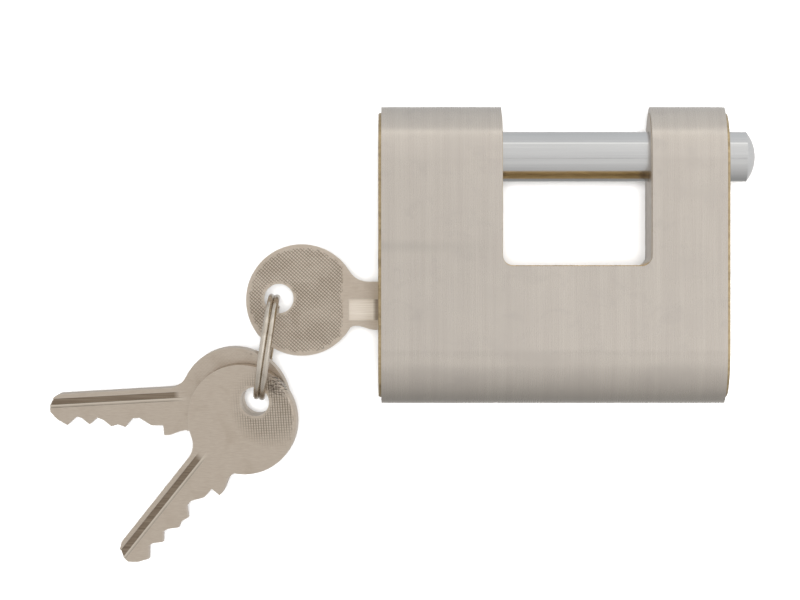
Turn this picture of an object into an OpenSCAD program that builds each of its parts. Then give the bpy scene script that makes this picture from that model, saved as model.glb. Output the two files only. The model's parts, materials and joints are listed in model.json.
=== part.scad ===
// Shutter padlock: a rectangular brass block in a seamless steel jacket, with a straight bolt
// across its slot, a pin tumbler plug in its left side, and three keys on a split ring.
// It lies on its back. X runs along the bolt, Y towards the bolt from the plug, Z up.
// The origin is on the flat back, at mid width, below the axis of the plug.

/* [Case] */
// Width over the brass end faces
case_w = 70; // [66:1:76]
// Thickness over the jacket
case_t = 22; // [21:0.5:24]
// Height of the jacket above the plug axis
case_up = 39.2; // [38.6:0.1:40]
// Height of the jacket below the plug axis
case_down = 20.3; // [19.8:0.1:21]
// Wall of the jacket
jacket_t = 1.2; // [0.8:0.1:1.4]
// How far the brass stands out of the jacket at each side
brass_proud = 0.6; // [0.4:0.1:1.2]

/* [Slot] */
// Thickness of the leg that holds the plug
leg_left = 24.8; // [24.4:0.1:25.2]
// Thickness of the leg that the bolt slides out of
leg_right = 15.7; // [15:0.1:16.4]
// Height of the slot floor above the plug axis
slot_floor = 7.3; // [7:0.1:7.6]
// Radius in the corners of the slot
slot_r = 2; // [1:0.1:3]

/* [Bolt] */
// Diameter of the bolt
bolt_d = 10; // [9.6:0.1:10.4]
// Height of the bolt axis above the plug axis
bolt_y = 29.2; // [29:0.1:29.5]
// Length of the bolt inside the left leg
bolt_in = 10.3; // [10:0.1:10.6]
// Length of bolt that stands out of the right side, dome included
bolt_out = 5.7; // [5:0.1:7]
// Height of the dome on the outer end
dome_h = 1.8; // [1.4:0.1:2.4]
// Depth of the turned locking groove
lock_groove_depth = 2.4; // [2.3:0.1:2.6]
// Travel of the bolt
bolt_travel = 40; // [38:0.5:40]
// Diameter of the bolt's stop pin
stop_pin_d = 2.5; // [2:0.1:2.8]
// Running clearance round the bolt, the plug and the sliding pins
play = 0.1; // [0.06:0.02:0.12]

/* [Plug and pins] */
// Diameter of the plug
plug_d = 11; // [10.8:0.1:11.2]
// Length of the plug
plug_len = 24.6; // [24.2:0.1:24.8]
// Diameter of the tumbler pins
pin_d = 2.6; // [2.4:0.1:2.7]
// Length of the driver pins
driver_len = 5; // [4.5:0.1:5.4]
// Distance of the first tumbler pin from the lock's face
first_pin = 5.4; // [5.2:0.1:5.8]
// Distance between tumbler pins
pin_pitch = 4; // [3.9:0.05:4]
// Diameter of the plug's retaining pin
retainer_d = 1.6; // [1.4:0.1:1.7]
// Diameter of the locking pin
lock_pin_d = 3; // [2.8:0.1:3]
// Lift of the locking pin in half a turn of the key
lock_lift = 2.2; // [2:0.1:2.3]

/* [Keys] */
// Diameter of the key's bow
bow_d = 22.4; // [21.6:0.2:23]
// Thickness of the key
key_t = 2; // [1.9:0.05:2.1]
// Diameter of the hole in the bow
bow_hole_d = 5.9; // [5.4:0.1:6.4]
// Distance from the bow's centre to the lock's face
bow_reach = 15.4; // [15:0.1:16]
// Distance from the bow's centre to its hole, away from the blade
bow_hole_back = 4.6; // [4.2:0.1:5]

/* [Split ring] */
// Outer diameter of the ring
ring_d = 21.5; // [21:0.1:21.8]
// Diameter of the ring's wire, each of two turns
ring_wire = 1.2; // [1:0.1:1.3]

/* [Hidden] */
$fn = 48;

// overlap of one cutter past the face it cuts
cut = 1;
// room left past the end of a travel
room = 0.2;
// gap between parts that only just clear each other
skin_gap = 0.02;
mid_z = case_t / 2;
face_x = -case_w / 2;

// jacket and block
pin_sink = 0.05;
jacket_half = case_w / 2 - brass_proud;
slot_x0 = face_x + leg_left;
slot_x1 = case_w / 2 - leg_right;
slot_lip = 0.15;
// half thickness of the brass in its round ends, at a distance from the centre of the round
function case_half(off) = sqrt(pow(case_t / 2 - jacket_t, 2) - pow(max(off, 0), 2));
// lowest reach in Y of a pin that ends inside the jacket, at a distance from mid thickness
function pin_foot(off) = case_t / 2 - case_down - case_half(off) + pin_sink;

// bolt
bolt_r = bolt_d / 2;
bolt_bore_r = bolt_r + play;
bolt_x0 = slot_x0 - bolt_in;
bolt_x1 = case_w / 2 + bolt_out;
bolt_chamfer = 0.8;
bolt_end_room = 1.5;
bolt_bore_end = bolt_x0 - bolt_end_room;
lock_from_plug_end = 3.7;
lock_x = face_x + plug_len - lock_from_plug_end;
lock_groove_w = lock_pin_d + 0.4;
stop_inset = 5;
stop_x = case_w / 2 - stop_inset;
stop_groove_depth = 1.6;
stop_groove_w = stop_pin_d + 0.4;
stop_groove_x0 = stop_x - bolt_travel - stop_pin_d / 2 - room;
stop_groove_x1 = stop_x + stop_pin_d / 2 + room;
stop_pin_top = mid_z - bolt_r + stop_groove_depth - room;
stop_pin_low = mid_z - case_half(bolt_y - (case_up - case_t / 2) + stop_pin_d / 2) + pin_sink;
dome_r = (pow(bolt_r, 2) + pow(dome_h, 2)) / (2 * dome_h);

// plug, cam and pins
plug_r = plug_d / 2;
plug_bore_r = plug_r + play / 2;
plug_x1 = face_x + plug_len;
key_gap = 0.15;
retain_inset = 2.6;
retain_x = face_x + retain_inset;
retain_top = 3;
cam_w = lock_pin_d + 1.2;
cam_gap = room;
cam_steps = 18;
lock_pin_r = lock_pin_d / 2;
lock_wall = 0.5;
lock_off = key_t / 2 + lock_wall + lock_pin_r;
lock_pin_up = sqrt(pow(plug_r, 2) - pow(lock_off - lock_pin_r, 2)) + cam_gap;
lock_pin_base = lock_pin_up - lock_lift;
lock_pin_top = bolt_y - bolt_r - room;
lock_plug_len = 5;
chamber_r = pin_d / 2 + play / 2;
chamber_end = 16;
pin_end_r = sqrt(pow(plug_r, 2) - pow(pin_d / 2, 2)) - skin_gap;
pin_rest_r = plug_bore_r;
pin_nose = 0.6;
pin_nose_r = 0.3;
pin_on_key = 0.08;
filler_top = -plug_bore_r - pin_sink;
spring_wire = 0.35;
spring_turns = 6;
spring_steps = 10;
N_PINS = 4;
function pin_x(i) = face_x + first_pin + (i - 1) * pin_pitch;

// key: u runs along the blade from the lock's face, v up to the spine
spine_v = 4.1;
blade_h = 7.6;
tip_room = 0.3;
bow_v = 0.4;
hole_v = bow_v + 0.3;
stop_gap = 0.1;
// the neck's top runs into the bow through a fillet that ends here
neck_end = -2.1;
neck_steps = 6;
neck_low = -4.7;
bow_r = bow_d / 2;
neck_rise = spine_v - bow_v;
neck_run = neck_end + bow_reach;
neck_r = (pow(neck_run, 2) + pow(neck_rise, 2) - pow(bow_r, 2)) / (2 * (bow_r - neck_rise));
neck_a = 180 + atan2(neck_rise + neck_r, neck_run);
// the neck's underside, from the stop against the lock's face to the bow
neck_under = [
  [-stop_gap, -5.58], [-1, -5.58], [-1.8, -5.45], [-2.7, -5.15],
  [-3.8, -4.82], [-4.6, -4.77], [-5.3, -4.92], [-6.1, -5.4]
];
key_tip = 23.2;
// blade edge from the stop to the tip: distance from the lock's face, and depth below the spine
bitting = [
  [2.3, 7.5], [4.7, 5.8], [6.2, 5.8], [7.8, 7.5], [9.4, 6.9], [10.7, 7.25],
  [12.3, 5.8], [13.5, 5.25], [15.2, 6.6], [16.8, 5.15], [17.7, 4.8], [19.9, 6.5],
  [22, 5.1], [key_tip, 3.6], [key_tip, 2.2], [22.2, 0.6], [20.8, 0]
];
// depth below the spine at which each key pin's nose rests
cut_depth = [5.85, 7, 5.6, 5.15];
wide_groove = [-3.7, 0.6];
wide_groove_depth = 0.75;
wide_groove_start = -6;
spine_groove = [1.9, 3.2];
spine_groove_depth = 0.6;
spine_groove_start = -5.6;
// length over which the milled groove runs out of the blade
groove_run_out = 3;
step_groove = [1.3, 1.9];
step_groove_depth = 0.2;

// ring: it stands on edge, and its wire passes through the bow's hole on the axis of its joint
hole_x = face_x - bow_reach - bow_hole_back;
ring_r = (ring_d - ring_wire) / 2;
ring_lift = 0.05;
ring_z = ring_d / 2 + ring_lift;
ring_dir = 261.3;
wire_in_hole = [-0.9, 0.3];
ring_joint = [hole_x, hole_v] + wire_in_hole;
ring_centre = ring_joint + ring_r * dir(ring_dir);
ring_far = ring_joint + 2 * ring_r * dir(ring_dir);
// the two turns are pressed together, and their ends stop apart from each other below
ring_turn_pitch = ring_wire * 0.98;
ring_end_gap = 0.6;
ring_end_dir = 235;
ring_end_apart = 12;

// spare keys: stacked in parallel planes that slope until both tips reach the ground
rear_dir = 184.3;
front_dir = 231;
key_stack = key_t + 0.2;
key_reach = bow_hole_back + bow_reach + key_tip;
tip_lift = 0.5;
rear_drop = (ring_z - key_stack / 2 - key_t / 2 - tip_lift) / key_reach;
front_drop = (ring_z + key_stack / 2 - key_t / 2 - tip_lift) / key_reach;
fall = [
  rear_drop * sin(front_dir) - front_drop * sin(rear_dir),
  front_drop * cos(rear_dir) - rear_drop * cos(front_dir)
] / sin(front_dir - rear_dir);
slope = asin(norm(fall));
slope_dir = atan2(fall.y, fall.x);
hole_past_wire = [-0.5, -0.6];
spare_hole = ring_far + hole_past_wire;

function dir(a) = [cos(a), sin(a)];

// lies a cylinder along X from x0 to x1
module rod_x(r, x0, x1) {
  translate([x0, 0, 0]) rotate([0, 90, 0]) cylinder(r = r, h = x1 - x0);
}

// stands a cylinder along Y from y0 to y1
module rod_y(r, y0, y1) {
  translate([0, y0, 0]) rotate([-90, 0, 0]) cylinder(r = r, h = y1 - y0);
}

// round-ended section of the case in Y and Z, drawn a given depth inside the jacket
module case_section(inset) {
  r = case_t / 2 - inset;
  y0 = case_t / 2 - case_down;
  y1 = case_up - case_t / 2;
  translate([y0, mid_z]) circle(r, $fn = 96);
  translate([y1, mid_z]) circle(r, $fn = 96);
  translate([y0, inset]) square([y1 - y0, 2 * r]);
}

// the section drawn out along X
module case_bar(inset, x0, x1) {
  translate([x0, 0, 0]) rotate([90, 0, 90]) linear_extrude(x1 - x0) case_section(inset);
}

// U slot through the thickness, widened by a given amount
module slot_cut(grow) {
  w = slot_x1 - slot_x0 + 2 * grow;
  r = slot_r + grow;
  translate([slot_x0 - grow, slot_floor - grow, -cut]) linear_extrude(case_t + 2 * cut) {
    translate([r, r]) circle(r);
    translate([w - r, r]) circle(r);
    translate([r, 0]) square([w - 2 * r, 2 * r]);
    translate([0, r]) square([w, case_up + cut - slot_floor - r]);
  }
}

// places children on the axis of the plug
module at_plug() translate([0, 0, mid_z]) children();

// places children on the axis of the bolt
module at_bolt() translate([0, bolt_y, mid_z]) children();

// places children on the axis of the locking pin
module at_lock_pin() translate([lock_x, 0, mid_z + lock_off]) children();

// places children on the axis of the retaining pin, half in the plug's groove
module at_retainer() translate([retain_x, 0, mid_z + plug_r]) children();

module body_block() {
  color([0.68, 0.60, 0.42]) difference() {
    case_bar(jacket_t, face_x, -face_x);
    slot_cut(0);
    at_bolt() rod_x(bolt_bore_r, bolt_bore_end, cut - face_x);
    at_plug() rod_x(plug_bore_r, face_x - cut, plug_x1 + play);
    for (i = [1:N_PINS]) translate([pin_x(i), 0, mid_z]) rod_y(chamber_r, -case_down, chamber_end);
    at_lock_pin() rod_y(lock_pin_r + play / 2, -case_down, bolt_y);
    at_retainer() rod_y(retainer_d / 2, -case_down, retain_top);
    translate([stop_x, bolt_y, 0]) cylinder(d = stop_pin_d, h = mid_z);
  }
}

module armour_jacket() {
  color([0.76, 0.73, 0.68]) difference() {
    case_bar(0, -jacket_half, jacket_half);
    case_bar(jacket_t, -jacket_half - cut, jacket_half + cut);
    slot_cut(slot_lip);
  }
}

// section of the keyway, in v and z: the blade's own, with a little room
module keyway_section() {
  half = key_t / 2 + key_gap;
  top = spine_v + key_gap;
  ward = wide_groove[1] - key_gap;
  low = spine_v - blade_h - key_gap;
  difference() {
    translate([low, -half]) square([top - low, 2 * half]);
    translate([low - cut, half - wide_groove_depth]) square([ward - low + cut, cut + half]);
  }
}

// outline of the plug at its cam: the locking pin sweeps it as the plug turns back half a turn
module cam_section() {
  difference() {
    circle(plug_r);
    for (k = [0:cam_steps]) {
      turn = k * 180 / cam_steps;
      lift = k * lock_lift / cam_steps;
      rotate(turn) translate([lock_pin_base - cam_gap + lift, lock_off - lock_pin_r - cam_gap])
        square([plug_r, lock_pin_d + 2 * cam_gap]);
    }
  }
}

module plug() {
  cam_x0 = lock_x - cam_w / 2;
  color([0.74, 0.66, 0.45]) at_plug() difference() {
    union() {
      rod_x(plug_r, face_x, cam_x0);
      translate([cam_x0, 0, 0]) rotate([90, 0, 90]) linear_extrude(cam_w) cam_section();
      rod_x(plug_r, cam_x0 + cam_w, plug_x1);
    }
    translate([face_x - cut, 0, 0]) rotate([90, 0, 90])
      linear_extrude(key_tip + tip_room + cut) keyway_section();
    for (i = [1:N_PINS]) translate([pin_x(i), 0, 0]) rod_y(chamber_r, -plug_d, 0);
    translate([retain_x, 0, 0]) rotate([0, 90, 0]) rotate_extrude()
      translate([plug_r - retainer_d / 2 - play, -retainer_d / 2 - play])
        square([plug_r, retainer_d + 2 * play]);
  }
}

module plug_retaining_pin() {
  color([0.72, 0.72, 0.73]) at_retainer()
    rod_y(retainer_d / 2, pin_foot(plug_r + retainer_d / 2), retain_top);
}

// the pins in the plug rest with their noses on the key, which is turned with its cuts down
module key_pin(i) {
  nose = spine_v - cut_depth[i - 1] - pin_on_key;
  color([0.80, 0.70, 0.42]) translate([pin_x(i), 0, mid_z]) {
    rod_y(pin_d / 2, -pin_end_r, nose - pin_nose);
    translate([0, nose - pin_nose, 0]) rotate([-90, 0, 0])
      cylinder(r1 = pin_d / 2, r2 = pin_nose_r, h = pin_nose);
  }
}

module driver_pin(i) {
  color([0.80, 0.70, 0.42]) translate([pin_x(i), 0, mid_z])
    rod_y(pin_d / 2, pin_rest_r, pin_rest_r + driver_len);
}

// coil spring from the driver pin to the end of its chamber
module pin_spring(i) {
  y0 = pin_rest_r + driver_len + spring_wire / 2 + skin_gap;
  y1 = chamber_end - spring_wire / 2 - skin_gap;
  coil_r = pin_d / 2 - play - spring_wire / 2;
  sides = 6;
  rings = spring_turns * spring_steps;
  points = [
    for (k = [0:rings], s = [0:sides - 1])
      let (a = k * 360 / spring_steps, b = s * 360 / sides, r = coil_r + spring_wire / 2 * cos(b))
        [r * cos(a), y0 + (y1 - y0) * k / rings + spring_wire / 2 * sin(b), r * sin(a)]
  ];
  skin = [
    for (k = [0:rings - 1], s = [0:sides - 1])
      let (n = (s + 1) % sides)
        [k * sides + s, (k + 1) * sides + s, (k + 1) * sides + n, k * sides + n]
  ];
  start = [for (s = [0:sides - 1]) s];
  end = [for (s = [sides - 1:-1:0]) rings * sides + s];
  color([0.62, 0.62, 0.62]) translate([pin_x(i), 0, mid_z])
    polyhedron(points, concat(skin, [start, end]));
}

// closes the hole under the plug through which a chamber is drilled
module filler_pin(i) {
  color([0.68, 0.60, 0.42]) translate([pin_x(i), 0, mid_z])
    rod_y(chamber_r, pin_foot(chamber_r), filler_top);
}

module locking_pin() {
  color([0.60, 0.60, 0.61]) at_lock_pin() rod_y(lock_pin_r, lock_pin_base, lock_pin_top);
}

module locking_bore_plug() {
  bottom = pin_foot(lock_off + lock_pin_r + play / 2);
  color([0.68, 0.60, 0.42]) at_lock_pin()
    rod_y(lock_pin_r + play / 2, bottom, bottom + lock_plug_len);
}

module bolt() {
  color([0.82, 0.82, 0.83]) at_bolt() difference() {
    rotate([0, 90, 0]) rotate_extrude($fn = 64) bolt_section();
    translate([stop_groove_x0, -stop_groove_w / 2, -bolt_r - cut])
      cube([stop_groove_x1 - stop_groove_x0, stop_groove_w, cut + stop_groove_depth]);
  }
}

// half section of the bolt, radius against length along X: chamfer, locking groove, shank, dome
module bolt_section() {
  dome_x = bolt_x1 - dome_h;
  floor_r = bolt_r - lock_groove_depth;
  difference() {
    polygon([
      [0, bolt_x0], [bolt_r - bolt_chamfer, bolt_x0], [bolt_r, bolt_x0 + bolt_chamfer],
      [bolt_r, lock_x - lock_groove_w / 2], [floor_r, lock_x - lock_groove_w / 2],
      [floor_r, lock_x + lock_groove_w / 2], [bolt_r, lock_x + lock_groove_w / 2],
      [bolt_r, dome_x], [0, dome_x]
    ]);
    translate([-cut, bolt_x0]) square([cut, bolt_x1 - bolt_x0]);
  }
  intersection() {
    translate([0, bolt_x1 - dome_r]) circle(dome_r, $fn = 96);
    translate([0, dome_x]) square([bolt_r, dome_h + cut]);
  }
}

module bolt_stop_pin() {
  color([0.72, 0.72, 0.73]) translate([stop_x, bolt_y, stop_pin_low])
    cylinder(d = stop_pin_d, h = stop_pin_top - stop_pin_low);
}

// outline of the neck and blade in u and v, running into the bow
module blade_outline() {
  polygon(concat(
    [[-bow_reach, 0]],
    [for (k = [0:neck_steps])
      [neck_end, spine_v + neck_r] + neck_r * dir(neck_a + (270 - neck_a) * k / neck_steps)],
    [for (i = [len(bitting) - 1:-1:0]) [bitting[i][0], spine_v - bitting[i][1]]],
    [[-stop_gap, spine_v - blade_h]],
    neck_under,
    [[-bow_reach, neck_low]]
  ));
}

// groove along the blade into one face, from u0 past the tip, deepening over a run-out
module blade_groove(span, depth, u0, side, run) {
  far = key_tip + cut;
  cutter = [
    [u0 - run * cut / depth, -cut], [u0 + run, depth], [far, depth], [far, -cut]
  ];
  translate([0, span[1], 0]) rotate([90, 0, 0]) linear_extrude(span[1] - span[0])
    polygon([for (p = cutter) [p[0], side * (key_t / 2 - p[1])]]);
}

// a key with its blade along +X from the lock's face and its spine up
module key() {
  color([0.68, 0.64, 0.58]) difference() {
    translate([0, 0, -key_t / 2]) union() {
      translate([-bow_reach, bow_v, 0]) cylinder(d = bow_d, h = key_t, $fn = 96);
      linear_extrude(key_t) blade_outline();
    }
    translate([-bow_reach - bow_hole_back, hole_v, -key_t]) cylinder(d = bow_hole_d, h = 2 * key_t);
    blade_groove(wide_groove, wide_groove_depth, wide_groove_start, 1, 0);
    blade_groove(spine_groove, spine_groove_depth, spine_groove_start, -1, groove_run_out);
    blade_groove(step_groove, step_groove_depth, spine_groove_start, -1, groove_run_out);
  }
}

module key_in_lock() {
  translate([face_x, 0, mid_z]) key();
}

// a spare key: its hole on the ring, its blade towards a direction on the ground, in its layer
module spare_key(towards, layer) {
  translate([spare_hole.x, spare_hole.y, ring_z]) rotate([0, 0, slope_dir])
    rotate([0, slope, 0]) rotate([0, 0, towards - slope_dir])
      translate([bow_reach + bow_hole_back, 0, layer * key_stack / 2])
        rotate([180, 0, 0]) translate([0, -hole_v, 0]) key();
}

module spare_key_front() spare_key(front_dir, 1);

module spare_key_rear() spare_key(rear_dir, -1);

// two turns of wire side by side, each open where its end stops
module split_ring() {
  color([0.70, 0.66, 0.58]) translate([ring_centre.x, ring_centre.y, ring_z])
    rotate([90, 0, ring_dir]) difference() {
      rotate_extrude($fn = 96) for (s = [-1, 1])
        translate([ring_r, s * ring_turn_pitch / 2]) circle(d = ring_wire, $fn = 32);
      for (s = [-1, 1]) rotate(ring_end_dir + ring_end_apart * s)
        translate([ring_r - ring_wire, -ring_end_gap / 2, s > 0 ? 0 : -2 * ring_wire])
          cube([2 * ring_wire, ring_end_gap, 2 * ring_wire]);
    }
}

body_block();
armour_jacket();
plug();
plug_retaining_pin();
key_pin(1);  // key_pin_1
key_pin(2);  // key_pin_2
key_pin(3);  // key_pin_3
key_pin(4);  // key_pin_4
driver_pin(1);  // driver_pin_1
driver_pin(2);  // driver_pin_2
driver_pin(3);  // driver_pin_3
driver_pin(4);  // driver_pin_4
pin_spring(1);  // pin_spring_1
pin_spring(2);  // pin_spring_2
pin_spring(3);  // pin_spring_3
pin_spring(4);  // pin_spring_4
filler_pin(1);  // filler_pin_1
filler_pin(2);  // filler_pin_2
filler_pin(3);  // filler_pin_3
filler_pin(4);  // filler_pin_4
locking_pin();
locking_bore_plug();
bolt();
bolt_stop_pin();
key_in_lock();
split_ring();
spare_key_front();
spare_key_rear();
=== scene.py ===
"""Shutter padlock: the looks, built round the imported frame.

The lock lies on its back. X runs along the bolt, Y from the key plug to the bolt, Z up.
Sizes are in millimetres and turned into metres by MM. Colours are linear red, green, blue.
"""

import json
import math

import bmesh
import bpy
from mathutils import Matrix, Vector


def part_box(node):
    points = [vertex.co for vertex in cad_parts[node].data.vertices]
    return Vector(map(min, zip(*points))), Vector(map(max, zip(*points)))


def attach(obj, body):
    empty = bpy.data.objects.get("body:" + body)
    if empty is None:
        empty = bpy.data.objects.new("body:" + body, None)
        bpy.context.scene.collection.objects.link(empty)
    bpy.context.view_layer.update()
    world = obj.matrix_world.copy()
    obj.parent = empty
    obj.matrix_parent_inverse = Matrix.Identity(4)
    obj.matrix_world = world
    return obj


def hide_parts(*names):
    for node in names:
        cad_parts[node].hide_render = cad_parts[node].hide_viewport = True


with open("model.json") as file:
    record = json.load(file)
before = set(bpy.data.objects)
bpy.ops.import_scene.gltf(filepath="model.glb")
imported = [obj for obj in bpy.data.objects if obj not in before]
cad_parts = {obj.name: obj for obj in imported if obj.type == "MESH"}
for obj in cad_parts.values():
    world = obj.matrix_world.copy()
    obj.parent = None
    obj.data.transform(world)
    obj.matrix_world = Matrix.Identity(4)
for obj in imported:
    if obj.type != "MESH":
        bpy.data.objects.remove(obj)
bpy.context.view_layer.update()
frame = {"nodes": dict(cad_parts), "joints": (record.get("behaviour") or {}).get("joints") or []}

MM = 0.001
IN_MM = (1000, 1000, 1000)
MERGE = 1e-7
CUT_SNAP = 1e-8

# places that the frame gives: the middle of the lock's thickness, the face that the key enters
CASE_LOW, CASE_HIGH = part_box("armour_jacket")
MID_Z = (CASE_LOW[2] + CASE_HIGH[2]) / 2
FACE_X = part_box("body_block")[0][0]
JOINTS = {joint["name"]: joint for joint in frame["joints"]}

# the slot's edges lie this near the lock's middle, and those of its right end past SLOT_RIGHT
SLOT_EDGE = 25 * MM
SLOT_RIGHT = 19 * MM

# rounded edges: width and segments
EDGE_SLOT_RIGHT = (0.6 * MM, 5)
EDGE_SLOT = (0.32 * MM, 4)
EDGE_JACKET = (0.25 * MM, 3)
EDGE_BLOCK = (0.3 * MM, 3)
EDGE_PLUG = (0.12 * MM, 2)
EDGE_BOLT = (0.2 * MM, 3)
EDGE_BOW = (0.36 * MM, 4)
EDGE_KEY = (0.14 * MM, 3)
EDGE_WIRE = (0.18 * MM, 2)

# how far two faces turn, in degrees: to have their edge rounded, to be shaded apart, to be one
# flat face; and the turn at the ends of the ring's wire
ROUND_FROM = 30
SHADE_SHARP_FROM = 35
FLAT_BELOW = 0.4
WIRE_END_FROM = 60

# key sizes: u runs along the blade from the lock's face, v up to the spine
KEY_T = 2.0 * MM
BOW_U = -15.4 * MM
BOW_V = 0.4 * MM
BOW_R = 11.2 * MM
HOLE_U = -20.0 * MM
HOLE_V = 0.7 * MM
HOLE_R = 2.95 * MM

# how near a point lies to a feature to belong to it, and the cosine past which a face lies flat
END_BAND = 0.05 * MM
RIM_BAND = 0.1 * MM
HOLE_BAND = 0.05 * MM
STEP_BAND = 0.02 * MM
LIES_FLAT = 0.99

# the ground step beside a bow, and how deep a groove's floor lies at least
STEP_DEPTH = 0.2 * MM
STEP_MID_V = 1.6 * MM
# the relief mark that paints shade on the step's half below STEP_MID_V
STEP_PAINTED_SHADE = 0.4
MILLED_OVER = 0.3 * MM

# the pressed diamonds on each side of a bow: a plate that ends short of the blade, and two sets
# of lines by their directions in degrees, the first line KNURL_OFFSET of a pitch off the middle
KNURL_R = 10.7 * MM
KNURL_END = -7.1 * MM
KNURL_SIDES = 96
KNURL_PITCH = 0.52 * MM
KNURL_OFFSET = 0.37
KNURL_LINES = (138, 48)
KNURL_GROOVE = 0.13 * MM
KNURL_STRETCH = 0.33
KNURL_RISE = 0.08 * MM
KNURL_HOLE_RIM = 0.15 * MM

# the plate's thickness, and the share of it that lies inside the bow
KNURL_SINK = 0.03 * MM
KNURL_BURIED = 0.85

# flats smaller than this share of a whole one, or worn to less than KNURL_GONE, aren't made
KNURL_SLIVER = 0.45
KNURL_GONE = 0.05

# the plate's border is darkened only a little by the grime and painted shade between the diamonds
KNURL_BORDER = 0.1 * MM
KNURL_BORDER_END = 0.02 * MM
KNURL_BORDER_FAINTLY_DARKENED = 0.85

# wear of the diamonds on the spare keys
FAINT_LEFT = 0.14
WORN_KEEP_U = -21.3 * MM
WORN_KEEP_V = -2.6 * MM
WORN_KEEP_R = 9.5 * MM
WORN_FADE = 5.5 * MM
WORN_STRETCH = 0.55

# split ring: its plane's direction, the end of its wire, and the crossing, in degrees; the two
# turns lie RING_NEST of a wire apart
RING_WIRE = 1.2 * MM
RING_DIR = 261.3
RING_START = 215
RING_CROSS = 35
RING_NEST = 0.97
RING_SIDES = 20
RING_STEPS = 60
RING_CROSS_STEPS = 8

# the keys on the ring: direction of each blade on the ground, and its layer
REAR_KEY = (184.3, -1)
FRONT_KEY = (231.0, 1)
KEY_LAYER = 1.1 * MM

# tones of the jacket's steel
JACKET_FINE = ((0.607, 0.553, 0.496), (0.645, 0.592, 0.53))
JACKET_BROAD = ((0.567, 0.514, 0.462), (0.675, 0.621, 0.554))
JACKET_BLOTCH = (0.535, 0.49, 0.445)
JACKET_CLOUD = (0.50, 0.46, 0.425)
JACKET_SMEAR = (0.42, 0.395, 0.36)

# tones of the brass
BLOCK_SAWN = ((0.46, 0.35, 0.20), (0.60, 0.475, 0.28))
BLOCK_TARNISH = (0.25, 0.19, 0.125)
# the slot's end walls: a grey that is painted shade and painted reflection on the brass, and a
# dark tone that is painted shade further down
BLOCK_WALL_SHADED_GREY = (0.55, 0.505, 0.465)
BLOCK_WALL_DEEP_SHADE = (0.17, 0.145, 0.125)
BLOCK_SLOT_FLOOR = ((0.66, 0.43, 0.17), (0.40, 0.25, 0.10))
BLOCK_EDGE = (0.68, 0.56, 0.34)
PLUG_TURNED = ((0.46, 0.37, 0.19), (0.60, 0.49, 0.27))
PIN_TURNED = ((0.56, 0.44, 0.20), (0.70, 0.56, 0.28))

# tones of the bolt, the small steel parts and the ring
BOLT_PLATED = ((0.625, 0.625, 0.625), (0.665, 0.665, 0.66))
ROD_GROUND = ((0.40, 0.40, 0.41), (0.55, 0.55, 0.56))
SPRING_WOUND = ((0.33, 0.33, 0.34), (0.46, 0.46, 0.47))
RING_PLATED = (
    (0.35, (0.68, 0.62, 0.54)), (0.6, (0.58, 0.52, 0.44)), (0.78, (0.36, 0.30, 0.24)),
)

# tones of the keys; the milled grooves are bare brass, painted bright as a reflection on the
# lock's own key and painted brown as shade on the spares
KEY_PLATED = ((0.565, 0.48, 0.395), (0.635, 0.555, 0.465))
KEY_STAIN = (0.48, 0.395, 0.31)
KEY_GRIME_AND_SHADE = (0.19, 0.155, 0.115)
# a painted highlight on the ground step's half above STEP_MID_V
KEY_PAINTED_HIGHLIGHT = (0.84, 0.76, 0.65)
KEY_EDGE = (0.72, 0.67, 0.59)
KEY_SCUFF = (0.07, 0.055, 0.045)
GROOVE_BRASS_AND_SHEEN = ((0.76, 0.66, 0.55), (0.96, 0.88, 0.77))
GROOVE_BRASS_AND_SHADE = ((0.21, 0.16, 0.115), (0.33, 0.265, 0.20))
GROOVE_SHADE = (0.20, 0.15, 0.11)

# rubbed edges, by the cosine between a face and its rounded edge: bare flat, and fully rubbed
RUBBED_FROM = 0.995
RUBBED_TO = 0.85

# the rings left by turning the plug, in radians a millimetre
PLUG_RINGS = 22

# the front spare key's dark scuff, in metres
SCUFF_AT = (-0.0548, -0.0165, 0.0138)
SCUFF_R = 3.4 * MM

# where the finishes change, in millimetres: the slot's middle, half its length and its floor; the
# line of the jacket's faint smear, where it starts and how far it takes to grow; and the shade on
# the key's groove, by distance from the lock's face
SLOT_MID = 4.55
SLOT_HALF = 14.75
SLOT_FLOOR = 7.3
SMEAR_Y = 11.0
SMEAR_START = -10.5
SMEAR_GROWS = 12
GROOVE_SHADE_FROM = -1.2
GROOVE_SHADE_TO = -0.5

# stage: the floor reaches this far each way, and doesn't share a plane with the lock
FLOOR_REACH = 3.0
FLOOR_GAP = 0.02 * MM
FLOOR_PALE = (0.86, 0.86, 0.86)
FLOOR_ROUGH = 0.9

# lights, in metres, watts and degrees
SOFTBOX_AT = (0.9, 0.1, 1.25)
SOFTBOX_SIZE = (1.1, 1.4)
SOFTBOX_POWER = 1.5
FILL_POWER = 3.6
FILL_SPREAD = 16

# camera: straight above the lock, as the photograph looks at its front
CAMERA_AT = (-30.66 * MM, 0.4 * MM, 782 * MM)
CAMERA_LENS = 172.5
CAMERA_SENSOR = 36
CAMERA_NEAR = 0.01

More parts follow.
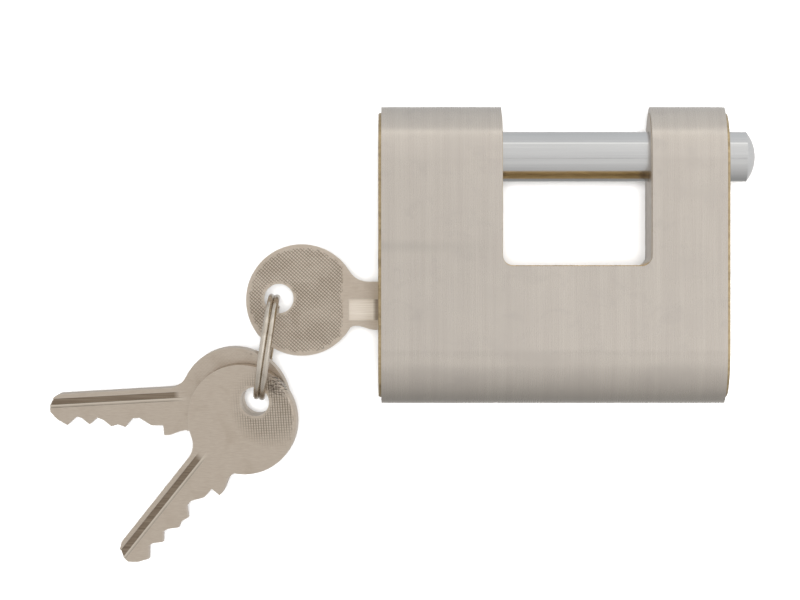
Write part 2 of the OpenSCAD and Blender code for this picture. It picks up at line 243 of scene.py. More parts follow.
# the studio tent round the lock, by degrees from straight up towards the bolt's side: bright
# above, with a thin dark line that the bolt shows, a bright seam and then a grey wall behind,
# dull in front and below
STUDIO_TENT = (
    (-180, (0.60, 0.59, 0.58)),
    (-165, (0.55, 0.545, 0.535)),
    (-145, (0.34, 0.34, 0.335)),
    (-120, (0.37, 0.37, 0.365)),
    (-74, (0.57, 0.565, 0.56)),
    (-40, (0.71, 0.705, 0.70)),
    (-34, (0.80, 0.795, 0.785)),
    (-14, (0.78, 0.775, 0.77)),
    (-9.5, (0.78, 0.775, 0.77)),
    (-9, (0.30, 0.30, 0.30)),
    (-7.5, (0.30, 0.30, 0.30)),
    (-7, (0.80, 0.795, 0.79)),
    (0, (0.82, 0.815, 0.81)),
    (30, (0.88, 0.875, 0.87)),
    (56, (0.93, 0.925, 0.915)),
    (60, (0.94, 0.935, 0.925)),
    (62, (1.2, 1.2, 1.18)),
    (66, (1.2, 1.2, 1.18)),
    (70, (0.77, 0.775, 0.78)),
    (110, (0.715, 0.73, 0.745)),
    (145, (0.615, 0.625, 0.635)),
    (180, (0.60, 0.59, 0.58)),
)

# the tent's two ends, and how its strength grows to the right: from and to, in X and in strength
STUDIO_ENDS = (0.72, 0.72, 0.725)
STUDIO_RIGHT = (0.05, 0.14, 1.0, 1.22)


# meshes

def socket(sockets, identifier):
    """A node's socket by its identifier, where several share a name."""
    return next(s for s in sockets if s.identifier == identifier)


def piece_from(bm, name, body, material):
    """A finished piece from a bmesh whose places are already in the row frame."""
    mesh = bpy.data.meshes.new(name)
    bm.to_mesh(mesh)
    bm.free()
    mesh.shade_smooth()
    mesh.set_sharp_from_angle(angle=math.radians(SHADE_SHARP_FROM))
    piece = bpy.data.objects.new(name, mesh)
    bpy.context.scene.collection.objects.link(piece)
    mesh.materials.append(material)
    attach(piece, body)
    return piece


def copy_of_node(node):
    """A merged copy of a CAD node's mesh, with its flat faces whole again."""
    bm = bmesh.new()
    bm.from_mesh(frame["nodes"][node].data)
    bmesh.ops.remove_doubles(bm, verts=bm.verts, dist=MERGE)
    bmesh.ops.dissolve_limit(
        bm, angle_limit=math.radians(FLAT_BELOW), verts=bm.verts, edges=bm.edges,
    )
    return bm


def soften_edges(bm, edge, where=None):
    """Rounds the sharp edges, or those of them that a test picks."""
    width, segments = edge
    limit = math.radians(ROUND_FROM)
    edges = [e for e in bm.edges if len(e.link_faces) == 2 and e.calc_face_angle() > limit]
    if where:
        edges = [e for e in edges if where(e)]
    bmesh.ops.bevel(
        bm, geom=edges, offset=width, offset_type="OFFSET", segments=segments, profile=0.5,
        affect="EDGES", clamp_overlap=True, material=-1,
    )


def mark(bm, name, share):
    """Writes a number on every vertex, from its place, for a finish to read."""
    layer = bm.verts.layers.float.get(name) or bm.verts.layers.float.new(name)
    for v in bm.verts:
        v[layer] = share(v)


def weigh_normals(piece):
    """Keeps the flats flat in shading beside their rounded edges."""
    modifier = piece.modifiers.new("weighted", "WEIGHTED_NORMAL")
    modifier.keep_sharp = True


# materials

class Finish:
    """A procedural material: a principled shader with helpers for the patterns that drive it."""

    def __init__(self, name, metallic=1.0):
        self.material = bpy.data.materials.new(name)
        self.material.use_nodes = True
        self.tree = self.material.node_tree
        self.shader = self.tree.nodes["Principled BSDF"]
        self.shader.inputs["Metallic"].default_value = metallic
        self.place = self.tree.nodes.new("ShaderNodeTexCoord").outputs["Object"]

    def link(self, source, target):
        self.tree.links.new(source, target)

    def mapped(self, scale, turn=0):
        """Object coordinates, turned about Z by degrees, and scaled: a scale of 1000 makes one
        unit a millimetre."""
        node = self.tree.nodes.new("ShaderNodeMapping")
        node.inputs["Scale"].default_value = scale
        node.inputs["Rotation"].default_value = (0, 0, math.radians(turn))
        self.link(self.place, node.inputs["Vector"])
        return node.outputs["Vector"]

    def noise(self, vector, detail=3.0, rough=0.55, warp=0.0):
        """A cloudy pattern, one cloud to a unit of the vector."""
        node = self.tree.nodes.new("ShaderNodeTexNoise")
        node.inputs["Scale"].default_value = 1.0
        node.inputs["Detail"].default_value = detail
        node.inputs["Roughness"].default_value = rough
        node.inputs["Distortion"].default_value = warp
        self.link(vector, node.inputs["Vector"])
        return node.outputs["Fac"]

    def remap(self, value, low, high, to_low=0.0, to_high=1.0):
        """A pattern's values from low to high, spread from to_low to to_high."""
        node = self.tree.nodes.new("ShaderNodeMapRange")
        node.inputs["From Min"].default_value = low
        node.inputs["From Max"].default_value = high
        node.inputs["To Min"].default_value = to_low
        node.inputs["To Max"].default_value = to_high
        self.link(value, node.inputs["Value"])
        return node.outputs["Result"]

    def math(self, operation, a, b=0.0):
        node = self.tree.nodes.new("ShaderNodeMath")
        node.operation = operation
        for value, into in zip((a, b), node.inputs):
            if isinstance(value, (int, float)):
                into.default_value = value
            else:
                self.link(value, into)
        return node.outputs["Value"]

    def times(self, a, b):
        return self.math("MULTIPLY", a, b)

    def ramp(self, value, stops):
        node = self.tree.nodes.new("ShaderNodeValToRGB")
        ends = node.color_ramp.elements
        while len(ends) < len(stops):
            ends.new(0.5)
        for end, (at, colour) in zip(ends, stops):
            end.position = at
            end.color = (*colour, 1)
        self.link(value, node.inputs["Fac"])
        return node.outputs["Color"]

    def two_tone(self, value, tones, low=0.3, high=0.7):
        """One tone up to a low value of a pattern, another from a high one."""
        return self.ramp(value, ((low, tones[0]), (high, tones[1])))

    def mix(self, share, a, b):
        """Two colours mixed by a share, which may be a number or a pattern."""
        node = self.tree.nodes.new("ShaderNodeMix")
        node.data_type = "RGBA"
        for value, name in ((share, "Factor_Float"), (a, "A_Color"), (b, "B_Color")):
            into = socket(node.inputs, name)
            if isinstance(value, (int, float)):
                into.default_value = value
            elif isinstance(value, tuple):
                into.default_value = (*value, 1)
            else:
                self.link(value, into)
        return socket(node.outputs, "Result_Color")

    def axis(self, name):
        """One object coordinate, in millimetres."""
        node = self.tree.nodes.new("ShaderNodeSeparateXYZ")
        self.link(self.mapped(IN_MM), node.inputs["Vector"])
        return node.outputs[name]

    def away(self, name, at):
        """How far a point lies from a place on one axis, in millimetres."""
        return self.math("ABSOLUTE", self.math("SUBTRACT", self.axis(name), at))

    def marked(self, name):
        """A number that mark() wrote on the piece."""
        node = self.tree.nodes.new("ShaderNodeAttribute")
        node.attribute_name = name
        return node.outputs["Fac"]

    def near(self, at, reach):
        """1 at a point of the piece, in metres, falling to 0 at a distance."""
        away = self.tree.nodes.new("ShaderNodeVectorMath")
        away.operation = "DISTANCE"
        away.inputs[1].default_value = at
        self.link(self.place, away.inputs[0])
        return self.remap(away.outputs["Value"], reach, 0)

    def edge_wear(self, radius):
        """How much a point lies on a convex edge, from the bevelled normal, 0 to 1."""
        bevel = self.tree.nodes.new("ShaderNodeBevel")
        bevel.inputs["Radius"].default_value = radius
        bevel.samples = 4
        geometry = self.tree.nodes.new("ShaderNodeNewGeometry")
        dot = self.tree.nodes.new("ShaderNodeVectorMath")
        dot.operation = "DOT_PRODUCT"
        self.link(bevel.outputs["Normal"], dot.inputs[0])
        self.link(geometry.outputs["Normal"], dot.inputs[1])
        return self.remap(dot.outputs["Value"], RUBBED_FROM, RUBBED_TO)

    def colour(self, value):
        self.link(value, self.shader.inputs["Base Color"])

    def roughness(self, value):
        self.link(value, self.shader.inputs["Roughness"])

    def bump(self, height, depth, strength):
        node = self.tree.nodes.new("ShaderNodeBump")
        node.inputs["Strength"].default_value = strength
        node.inputs["Distance"].default_value = depth
        self.link(height, node.inputs["Height"])
        self.link(node.outputs["Normal"], self.shader.inputs["Normal"])


def brushed_jacket_steel():
    """Satin stainless, brushed round the case, with soft blotches and one long faint smear."""
    f = Finish("jacket_steel")
    brushing = f.noise(f.mapped((7000, 50, 50)), detail=4, rough=0.6)
    broad = f.noise(f.mapped((900, 18, 18)))
    blotch = f.noise(f.mapped((75, 110, 90)), rough=0.5, warp=0.4)
    cloud = f.noise(f.mapped((240, 300, 240)), rough=0.5, warp=0.6)
    base = f.two_tone(brushing, JACKET_FINE)
    base = f.mix(0.3, base, f.two_tone(broad, JACKET_BROAD, 0.35, 0.65))
    base = f.mix(f.remap(blotch, 0.42, 0.72, 0, 0.42), base, JACKET_BLOTCH)
    base = f.mix(f.remap(cloud, 0.55, 0.8, 0, 0.35), base, JACKET_CLOUD)

    on_line = f.remap(f.away("Y", SMEAR_Y), 1.6, 0.2)
    smear = f.times(on_line, f.remap(f.axis("X"), SMEAR_START, SMEAR_START - SMEAR_GROWS))
    smear = f.times(smear, f.remap(blotch, 0.3, 0.6, 0.3, 1))
    f.colour(f.mix(f.times(smear, 0.42), base, JACKET_SMEAR))

    satin = f.remap(brushing, 0.3, 0.7, 0.24, 0.31)
    f.roughness(f.math("ADD", satin, f.remap(blotch, 0.4, 0.7, -0.02, 0.04)))
    f.shader.inputs["Anisotropic"].default_value = 0.4
    f.bump(brushing, depth=0.003 * MM, strength=0.15)
    return f.material


def block_brass():
    """Sawn and linished brass, tarnished in patches, with painted shade and painted reflection
    greying the slot's end walls and darkening them further down, and warm on its floor."""
    f = Finish("block_brass")
    lines = f.noise(f.mapped((300, 2500, 5200)))
    stain = f.noise(f.mapped((420, 520, 520)), detail=5, rough=0.68, warp=0.6)
    base = f.two_tone(lines, BLOCK_SAWN)
    base = f.mix(f.remap(stain, 0.44, 0.70, 0, 0.7), base, BLOCK_TARNISH)

    from_middle = f.away("X", SLOT_MID)
    # painted shade and painted reflection: the slot's end walls turn grey, and darker deeper down
    wall = f.times(
        f.remap(from_middle, SLOT_HALF - 0.8, SLOT_HALF - 0.1),
        f.remap(from_middle, SLOT_HALF + 1.5, SLOT_HALF + 1),
    )
    base = f.mix(f.times(wall, 0.8), base, BLOCK_WALL_SHADED_GREY)
    low_down = f.remap(f.axis("Z"), 8, 0.5, 0, 0.75)
    base = f.mix(f.times(wall, low_down), base, BLOCK_WALL_DEEP_SHADE)

    slot_floor = f.times(
        f.remap(f.away("Y", SLOT_FLOOR), 0.7, 0.3),
        f.remap(from_middle, SLOT_HALF, SLOT_HALF - 1),
    )
    warm, brown = BLOCK_SLOT_FLOOR
    base = f.mix(f.times(slot_floor, 0.8), base, f.mix(f.remap(stain, 0.4, 0.6), warm, brown))
    f.colour(f.mix(f.times(f.edge_wear(0.35 * MM), 0.4), base, BLOCK_EDGE))
    f.roughness(f.remap(stain, 0.3, 0.8, 0.30, 0.5))
    f.bump(lines, depth=0.01 * MM, strength=0.5)
    return f.material


def plug_brass():
    """Turned brass, with rings about the plug's axis."""
    f = Finish("plug_brass")
    up = f.math("SUBTRACT", f.axis("Z"), MID_Z / MM)
    squares = f.math("ADD", f.math("POWER", f.axis("Y"), 2), f.math("POWER", up, 2))
    rings = f.math("SINE", f.times(f.math("SQRT", squares), PLUG_RINGS))
    stain = f.noise(f.mapped((260, 260, 260)), detail=4)
    f.colour(f.two_tone(stain, PLUG_TURNED, 0.35))
    f.roughness(f.remap(stain, 0.3, 0.7, 0.26, 0.42))
    f.bump(rings, depth=0.006 * MM, strength=0.6)
    return f.material


def pin_brass():
    """Small turned brass pins."""
    f = Finish("pin_brass")
    grain = f.noise(f.mapped((500, 4000, 500)))
    f.colour(f.two_tone(grain, PIN_TURNED))
    f.roughness(f.remap(grain, 0.3, 0.7, 0.2, 0.32))
    return f.material


def ground_steel(name, tones, shine):
    """Plain steel, ground round."""
    f = Finish(name)
    grain = f.noise(f.mapped((900, 3500, 900)))
    f.colour(f.two_tone(grain, tones))
    f.roughness(f.remap(grain, 0.3, 0.7, shine - 0.05, shine + 0.07))
    f.bump(grain, depth=0.004 * MM, strength=0.4)
    return f.material


def bolt_chrome():
    """Polished plating over a hardened bolt, with fine draw lines and a faint haze."""
    f = Finish("bolt_chrome")
    draw = f.noise(f.mapped((30, 3200, 3200)))
    haze = f.noise(f.mapped((120, 240, 240)), detail=4, rough=0.6)
    f.colour(f.two_tone(draw, BOLT_PLATED))
    polish = f.remap(haze, 0.35, 0.7, 0.10, 0.17)
    f.roughness(f.math("ADD", polish, f.remap(draw, 0.3, 0.7, 0, 0.04)))
    f.bump(draw, depth=0.002 * MM, strength=0.5)
    return f.material


def key_nickel(name, turn, groove, scuff=None):
    """Nickel plate worn to a warm satin: grime and painted shade between the pressed diamonds,
    darkening on the wall of the bow's hole, painted shade on one half of the ground step and a
    painted highlight on its other half, the milled grooves in bare brass tones given as groove,
    with a painted reflection on one key and painted shade on the others and painted shade next to
    the lock's face, brighter edges, and on one key a dark scuff on its rim. Its lines run along a
    blade that points turn degrees from X."""
    f = Finish(name)
    lines = f.noise(f.mapped((700, 6000, 700), turn))
    draw = f.noise(f.mapped((100, 9000, 100), turn), detail=2)
    stain = f.noise(f.mapped((170, 170, 170)), detail=5, rough=0.6, warp=0.5)
    base = f.two_tone(lines, KEY_PLATED)
    base = f.mix(f.remap(stain, 0.5, 0.75, 0, 0.4), base, KEY_STAIN)
    # grime and painted shade between the diamonds, darkening on the bow hole's wall and painted
    # shade on half the ground step, all read from the relief marks
    between = f.remap(f.marked("relief"), 0.95, 0.2)
    base = f.mix(f.times(between, f.remap(stain, 0.35, 0.6, 0.68, 0.95)), base, KEY_GRIME_AND_SHADE)
    # painted highlight on one half of the ground step
    base = f.mix(f.times(f.marked("painted_highlight"), 0.7), base, KEY_PAINTED_HIGHLIGHT)

    at_face = f.remap(
        f.axis("X"), FACE_X / MM + GROOVE_SHADE_FROM, FACE_X / MM + GROOVE_SHADE_TO, 0, 0.75,
    )
    # the milled grooves in the tones given: painted reflection on the lock's key, painted shade
    # on the spares, and painted shade next to the lock's face
    milled = f.mix(at_face, f.two_tone(draw, groove, 0.35, 0.65), GROOVE_SHADE)
    base = f.mix(f.remap(f.marked("milled"), 0.5, 0.95), base, milled)
    off_diamonds = f.remap(f.marked("milled"), -0.9, -0.2, 0, 0.5)
    base = f.mix(f.times(f.edge_wear(0.25 * MM), off_diamonds), base, KEY_EDGE)
    if scuff:
        scratch = f.noise(f.mapped((900, 2600, 900), turn=40), detail=4, rough=0.7, warp=1.5)
        worn = f.times(f.near(scuff, SCUFF_R), f.remap(scratch, 0.47, 0.56))
        base = f.mix(f.remap(worn, 0.1, 0.5, 0, 0.85), base, KEY_SCUFF)
    f.colour(base)
    f.roughness(f.remap(stain, 0.3, 0.75, 0.30, 0.46))
    f.bump(lines, depth=0.006 * MM, strength=0.5)
    return f.material


def ring_steel():
    """Plated wire, a little tarnished."""
    f = Finish("ring_steel")
    stain = f.noise(f.mapped((300, 300, 300)), detail=4, warp=0.5)
    f.colour(f.ramp(stain, RING_PLATED))
    f.roughness(f.remap(stain, 0.3, 0.75, 0.16, 0.3))
    return f.material


# stage

def pale_floor():
    """A plain pale floor under the lock."""
    bm = bmesh.new()
    bmesh.ops.create_grid(
        bm, x_segments=1, y_segments=1, size=FLOOR_REACH,
        matrix=Matrix.Translation((0, 0, -FLOOR_GAP)),
    )
    mesh = bpy.data.meshes.new("floor")
    bm.to_mesh(mesh)
    bm.free()
    floor = bpy.data.objects.new("floor", mesh)
    floor.visible_glossy = False
    bpy.context.scene.collection.objects.link(floor)
    f = Finish("floor_pale", metallic=0.0)
    f.shader.inputs["Base Color"].default_value = (*FLOOR_PALE, 1)
    f.shader.inputs["Roughness"].default_value = FLOOR_ROUGH
    mesh.materials.append(f.material)


def soft_lights():
    """A weak softbox from the right, and a broad light from straight above for the floor."""
    box = bpy.data.lights.new("softbox_right", "AREA")
    box.shape = "RECTANGLE"
    box.size, box.size_y = SOFTBOX_SIZE
    box.energy = SOFTBOX_POWER
    softbox = bpy.data.objects.new("softbox_right", box)
    softbox.location = SOFTBOX_AT
    softbox.rotation_euler = (-Vector(SOFTBOX_AT)).to_track_quat("-Z", "Y").to_euler()
    bpy.context.scene.collection.objects.link(softbox)

    sun = bpy.data.lights.new("floor_fill", "SUN")
    sun.energy = FILL_POWER
    sun.angle = math.radians(FILL_SPREAD)
    fill = bpy.data.objects.new("floor_fill", sun)
    fill.visible_glossy = False
    bpy.context.scene.collection.objects.link(fill)


def studio_tent():
    """The soft surroundings that the metal shows: the tent's tones by the lean from straight up,
    its ends by the share that lies along the bolt."""
    world = bpy.data.worlds.new("studio")
    world.use_nodes = True
    nodes, links = world.node_tree.nodes, world.node_tree.links
    towards = nodes.new("ShaderNodeSeparateXYZ")
    links.new(nodes.new("ShaderNodeTexCoord").outputs["Generated"], towards.inputs[0])

    lean = nodes.new("ShaderNodeMath")
    lean.operation = "ARCTAN2"
    links.new(towards.outputs["Y"], lean.inputs[0])
    links.new(towards.outputs["Z"], lean.inputs[1])
    spread = nodes.new("ShaderNodeMapRange")
    spread.inputs["From Min"].default_value = -math.pi
    spread.inputs["From Max"].default_value = math.pi
    links.new(lean.outputs["Value"], spread.inputs["Value"])
    tent = nodes.new("ShaderNodeValToRGB")
    while len(tent.color_ramp.elements) < len(STUDIO_TENT):
        tent.color_ramp.elements.new(0.5)
    for stop, (at, colour) in zip(tent.color_ramp.elements, STUDIO_TENT):
        stop.position = (at + 180) / 360
        stop.color = (*colour, 1)
    links.new(spread.outputs["Result"], tent.inputs["Fac"])

    aside = nodes.new("ShaderNodeMath")
    aside.operation = "POWER"
    aside.inputs[1].default_value = 2
    links.new(towards.outputs["X"], aside.inputs[0])
    ends = nodes.new("ShaderNodeMix")
    ends.data_type = "RGBA"
    links.new(aside.outputs["Value"], socket(ends.inputs, "Factor_Float"))
    links.new(tent.outputs["Color"], socket(ends.inputs, "A_Color"))
    socket(ends.inputs, "B_Color").default_value = (*STUDIO_ENDS, 1)
    links.new(socket(ends.outputs, "Result_Color"), nodes["Background"].inputs["Color"])

    rightwards = nodes.new("ShaderNodeMapRange")
    for name, value in zip(("From Min", "From Max", "To Min", "To Max"), STUDIO_RIGHT):
        rightwards.inputs[name].default_value = value
    links.new(towards.outputs["X"], rightwards.inputs["Value"])
    links.new(rightwards.outputs["Result"], nodes["Background"].inputs["Strength"])
    bpy.context.scene.world = world
    bpy.context.scene.view_settings.view_transform = "Standard"


def camera_over_lock():
    """The camera that looks straight down at the lock."""
    data = bpy.data.cameras.new("camera")
    data.sensor_width = CAMERA_SENSOR
    data.lens = CAMERA_LENS
    data.clip_start = CAMERA_NEAR
    camera = bpy.data.objects.new("camera", data)
    camera.location = CAMERA_AT
    bpy.context.scene.collection.objects.link(camera)
    bpy.context.scene.camera = camera


# pieces

def jacket(material):
    """The steel sleeve, its edges broken, and more so round the slot."""

    def at_slot(low, high):
        return lambda e: all(low < v.co.x < high for v in e.verts)

    bm = copy_of_node("armour_jacket")
    soften_edges(bm, EDGE_SLOT_RIGHT, where=at_slot(SLOT_RIGHT, SLOT_EDGE))
    soften_edges(bm, EDGE_SLOT, where=at_slot(-SLOT_EDGE, SLOT_RIGHT))
    soften_edges(bm, EDGE_JACKET)
    piece = piece_from(bm, "jacket_shell", "housing", material)
    weigh_normals(piece)
    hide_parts("armour_jacket")


def block(material):
    """The brass block, its edges rounded where it stands out of the jacket."""

    def at_an_end(e):
        return any(abs(v.co.x) > -FACE_X - END_BAND for v in e.verts)

    bm = copy_of_node("body_block")
    soften_edges(bm, EDGE_BLOCK, where=at_an_end)
    piece = piece_from(bm, "brass_block", "housing", material)
    weigh_normals(piece)
    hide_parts("body_block")


def softened(node, name, body, material, edge):
    """A CAD node with its edges broken."""
    bm = copy_of_node(node)
    soften_edges(bm, edge)
    piece = piece_from(bm, name, body, material)
    weigh_normals(piece)
    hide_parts(node)


def cut(bm, at, across, clear=False):
    """Cuts every face along a plane, and takes away what lies beyond it if asked."""
    bmesh.ops.bisect_plane(
        bm, geom=bm.verts[:] + bm.edges[:] + bm.faces[:], dist=CUT_SNAP,
        plane_co=at, plane_no=across, clear_outer=clear,
    )


def knurled_disc(side, left, stretch):
    """A pressed diamond pattern for one side of a bow: a thin plate in u and v whose small flats
    stand up from its face. left(u, v) says how much of them wear has left, and stretch how far
    the flats run on along the first lines, which makes the lines across them fainter."""
    bm = bmesh.new()
    bmesh.ops.create_circle(bm, cap_ends=True, segments=KNURL_SIDES, radius=KNURL_R)
    # the marks come first, because a new one would part tops from its vertices
    mark(bm, "relief", lambda v: 0.0)
    mark(bm, "milled", lambda v: 0.0)
    plate_end = KNURL_END - BOW_U
    cut(bm, (plate_end, 0, 0), (1, 0, 0), clear=True)
    lines = int(KNURL_R / KNURL_PITCH) + 1
    for turn in KNURL_LINES:
        across = Matrix.Rotation(math.radians(side * turn - 90), 3, "Z") @ Vector((1, 0, 0))
        for k in range(-lines, lines + 1):
            cut(bm, across * (k + KNURL_OFFSET) * KNURL_PITCH, across)
    hole = Vector((HOLE_U - BOW_U, side * (HOLE_V - BOW_V), 0))

    def share(place):
        return left(place.x + BOW_U, side * place.y + BOW_V)

    bare = [
        f for f in bm.faces
        if share(f.calc_center_median()) < KNURL_GONE
        or any((v.co - hole).length < HOLE_R + KNURL_HOLE_RIM for v in f.verts)
        or f.calc_area() < KNURL_SLIVER * KNURL_PITCH ** 2
        or min(e.calc_length() for e in f.edges) < KNURL_SLIVER / 2 * KNURL_PITCH
    ]
    bmesh.ops.delete(bm, geom=bare, context="FACES")
    raised = bmesh.ops.extrude_face_region(bm, geom=bm.faces[:], use_keep_orig=True)["geom"]
    raised_verts = [g for g in raised if isinstance(g, bmesh.types.BMVert)]
    bmesh.ops.translate(bm, vec=(0, 0, KNURL_SINK), verts=raised_verts)
    cells = [g for g in raised if isinstance(g, bmesh.types.BMFace)]
    bmesh.ops.inset_individual(
        bm, faces=cells, thickness=KNURL_GROOVE, depth=0, use_even_offset=True,
    )
    along = Matrix.Rotation(math.radians(side * KNURL_LINES[0]), 3, "Z") @ Vector((1, 0, 0))
    tops = {}
    for cell in cells:
        centre = cell.calc_center_median()
        rise = KNURL_RISE * share(centre)
        for v in cell.verts:
            v.co += along * math.copysign(KNURL_GROOVE * stretch, (v.co - centre).dot(along))
            v.co.z += rise
            tops[v] = 1.0

    def relief(v):
        at_border = math.hypot(v.co.x, v.co.y) > KNURL_R - KNURL_BORDER
        if at_border or v.co.x > plate_end - KNURL_BORDER_END:
            return KNURL_BORDER_FAINTLY_DARKENED
        return tops.get(v, 1 - share(v.co))

    mark(bm, "relief", relief)
    mark(bm, "milled", lambda v: share(v.co) - 1)
    onto_bow = (BOW_U, BOW_V, KEY_T / 2 - KNURL_SINK * KNURL_BURIED)
    bmesh.ops.translate(bm, vec=onto_bow, verts=bm.verts)
    bmesh.ops.recalc_face_normals(bm, faces=bm.faces)
    return bm


def unworn(u, v):
    """A bow whose diamonds are all there."""
    return 1.0


def worn_faint(u, v):
    """A bow rubbed nearly smooth all over."""
    return FAINT_LEFT


def worn_flat(u, v):
    """A bow whose diamonds are left on one side of its hole, and rubbed away elsewhere."""
    away = math.hypot(u - WORN_KEEP_U, v - WORN_KEEP_V)
    share = min(max((WORN_KEEP_R - away) / WORN_FADE, 0), 1)
    return share * share * (3 - 2 * share)


def dressed_key(node, name, body, material, place, left, stretch=KNURL_STRETCH):
    """A key from its CAD node, with rounded edges and its bow knurled on both sides. left and
    stretch say how worn the diamonds are on its lower side, which the spare keys turn up."""
    bm = copy_of_node(node)
    home = place.inverted()

    def on_bow_rim(e):
        ends = [home @ v.co for v in e.verts]
        return all(
            math.hypot(at.x - BOW_U, at.y - BOW_V) > BOW_R - RIM_BAND and at.x < KNURL_END
            for at in ends
        )

    soften_edges(bm, EDGE_BOW, where=on_bow_rim)
    soften_edges(bm, EDGE_KEY)

    def on_step(v):
        return abs(abs((home @ v.co).z) - KEY_T / 2 + STEP_DEPTH) < STEP_BAND

    def relief(v):
        at = home @ v.co
        # painted shade on the ground step's half below STEP_MID_V
        if on_step(v) and at.y < STEP_MID_V:
            return STEP_PAINTED_SHADE
        # the bow hole's wall is marked 0, which darkens it fully
        in_hole = math.hypot(at.x - HOLE_U, at.y - HOLE_V) < HOLE_R + HOLE_BAND
        return 0.0 if in_hole and abs(at.z) < KEY_T / 2 - HOLE_BAND else 1.0

    def milled(v):
        flat = any(abs((home.to_3x3() @ f.normal).z) > LIES_FLAT for f in v.link_faces)
        return float(flat and abs((home @ v.co).z) < KEY_T / 2 - MILLED_OVER)

    # the ground step's half above STEP_MID_V, for a painted highlight
    def painted_highlight(v):
        return float(on_step(v) and (home @ v.co).y > STEP_MID_V)

    mark(bm, "relief", relief)
    mark(bm, "milled", milled)
    mark(bm, "painted_highlight", painted_highlight)
    turned = Matrix.Translation((0, 2 * BOW_V, 0)) @ Matrix.Rotation(math.pi, 4, "X")
    for side, way, side_left in ((1, Matrix(), unworn), (-1, turned, left)):
        disc = knurled_disc(side, side_left, stretch)
        bmesh.ops.transform(disc, matrix=place @ way, verts=disc.verts)
        knurl = bpy.data.meshes.new("knurl")
        disc.to_mesh(knurl)
        disc.free()
        bm.from_mesh(knurl)
        bpy.data.meshes.remove(knurl)
    piece = piece_from(bm, name, body, material)
    weigh_normals(piece)
    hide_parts(node)


def spare_key_place(joint, towards, layer):
    """Where a spare key's own frame stands: its hole on the ring, sloping down to its tip."""
    normal = Vector(JOINTS[joint]["axis"])
    slope = math.acos(normal.z)
    slope_dir = math.atan2(normal.y, normal.x)
    return (
        Matrix.Translation(JOINTS[joint]["pos_m"])
        @ Matrix.Rotation(slope_dir, 4, "Z")
        @ Matrix.Rotation(slope, 4, "Y")
        @ Matrix.Rotation(math.radians(towards) - slope_dir, 4, "Z")
        @ Matrix.Translation((-HOLE_U, 0, layer * KEY_LAYER))
        @ Matrix.Rotation(math.pi, 4, "X")
        @ Matrix.Translation((0, -HOLE_V, 0))
    )


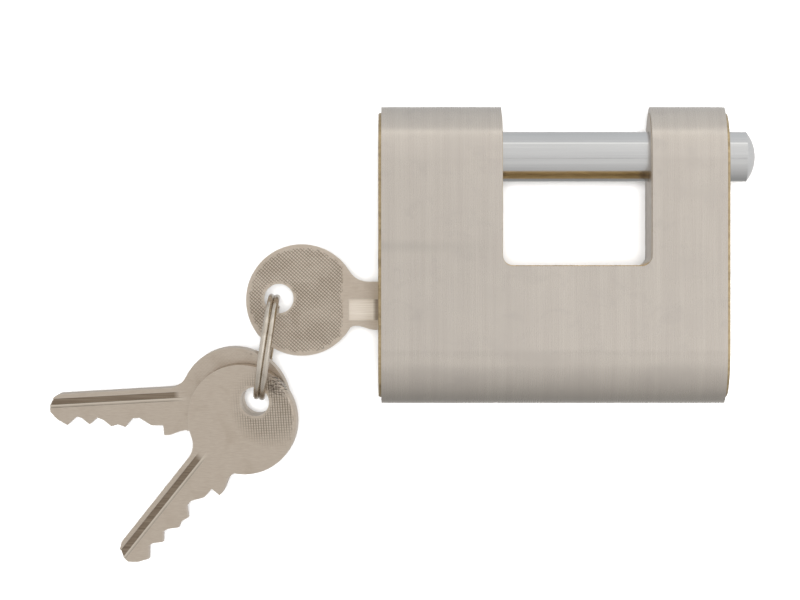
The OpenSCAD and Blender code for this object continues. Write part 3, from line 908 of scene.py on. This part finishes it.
def wire_ring(material):
    """The split ring: one wire wound twice round, crossing from one turn to the next."""
    low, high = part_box("split_ring")
    centre = (Vector(low) + Vector(high)) / 2
    lean = math.radians(RING_DIR)
    axis = Matrix.Rotation(lean, 4, "Z") @ Vector((0, -1, 0))
    out = Vector((math.cos(lean), math.sin(lean), 0))
    wire_r = RING_WIRE / 2
    mean_r = (high[2] - low[2]) / 2 - wire_r
    aside = wire_r * RING_NEST

    bm = bmesh.new()
    bmesh.ops.create_circle(bm, cap_ends=True, segments=RING_SIDES, radius=wire_r)
    face = Matrix((out, axis, out.cross(axis))).transposed().to_4x4()
    beside = Matrix.Translation(out * mean_r - axis * aside)
    bmesh.ops.transform(bm, matrix=beside @ face, verts=bm.verts)
    start = Matrix.Rotation(math.radians(RING_START), 4, axis)
    bmesh.ops.transform(bm, matrix=start, verts=bm.verts)

    section = bm.faces[:] + bm.edges[:] + bm.verts[:]
    turn = (360 - RING_CROSS, RING_STEPS, 0)
    crossing = (RING_CROSS, RING_CROSS_STEPS, aside * 2)
    for sweep, steps, shift in (turn, crossing, turn):
        made = bmesh.ops.spin(
            bm, geom=section, cent=(0, 0, 0), axis=axis, dvec=axis * shift / steps,
            angle=math.radians(sweep), steps=steps, use_duplicate=False,
        )
        section = made["geom_last"]
    bmesh.ops.translate(bm, vec=centre, verts=bm.verts)
    bmesh.ops.remove_doubles(bm, verts=bm.verts, dist=MERGE)
    inner = [
        f for f in bm.faces
        if len(f.verts) > 4 and all(len(e.link_faces) > 2 for e in f.edges)
    ]
    bmesh.ops.delete(bm, geom=inner, context="FACES_ONLY")
    bmesh.ops.recalc_face_normals(bm, faces=bm.faces)
    width, segments = EDGE_WIRE
    limit = math.radians(WIRE_END_FROM)
    ends = [e for e in bm.edges if len(e.link_faces) == 2 and e.calc_face_angle() > limit]
    bmesh.ops.bevel(
        bm, geom=ends, offset=width, segments=segments, profile=0.5, affect="EDGES", material=-1,
    )
    piece = piece_from(bm, "wire_ring", "key_ring", material)
    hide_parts("split_ring")


def finish_node(node, material):
    """A CAD node that stays as it is, with its own finish."""
    mesh = frame["nodes"][node].data
    mesh.materials.clear()
    mesh.materials.append(material)


pale_floor()
soft_lights()
studio_tent()
camera_over_lock()

jacket(brushed_jacket_steel())
brass = block_brass()
block(brass)
softened("plug", "key_plug", "cylinder", plug_brass(), EDGE_PLUG)
softened("bolt", "bolt_rod", "sliding_bolt", bolt_chrome(), EDGE_BOLT)
dressed_key(
    "key_in_lock", "turned_key", "cylinder",
    key_nickel("key_nickel_lock", 0, GROOVE_BRASS_AND_SHEEN),
    Matrix.Translation((FACE_X, 0, MID_Z)), unworn,
)
dressed_key(
    "spare_key_rear", "rear_spare_key", "rear_spare",
    key_nickel("key_nickel_rear", REAR_KEY[0], GROOVE_BRASS_AND_SHADE),
    spare_key_place("rear_spare_swing", *REAR_KEY), worn_faint,
)
dressed_key(
    "spare_key_front", "front_spare_key", "front_spare",
    key_nickel("key_nickel_front", FRONT_KEY[0], GROOVE_BRASS_AND_SHADE, SCUFF_AT),
    spare_key_place("front_spare_swing", *FRONT_KEY), worn_flat, WORN_STRETCH,
)
wire_ring(ring_steel())

pin_finish = pin_brass()
rod_finish = ground_steel("rod_steel", ROD_GROUND, 0.25)
spring_finish = ground_steel("spring_steel", SPRING_WOUND, 0.3)
for i in range(1, 5):
    finish_node(f"key_pin_{i}", pin_finish)
    finish_node(f"driver_pin_{i}", pin_finish)
    finish_node(f"pin_spring_{i}", spring_finish)
    finish_node(f"filler_pin_{i}", brass)
for node in ("plug_retaining_pin", "locking_pin", "bolt_stop_pin"):
    finish_node(node, rod_finish)
finish_node("locking_bore_plug", brass)
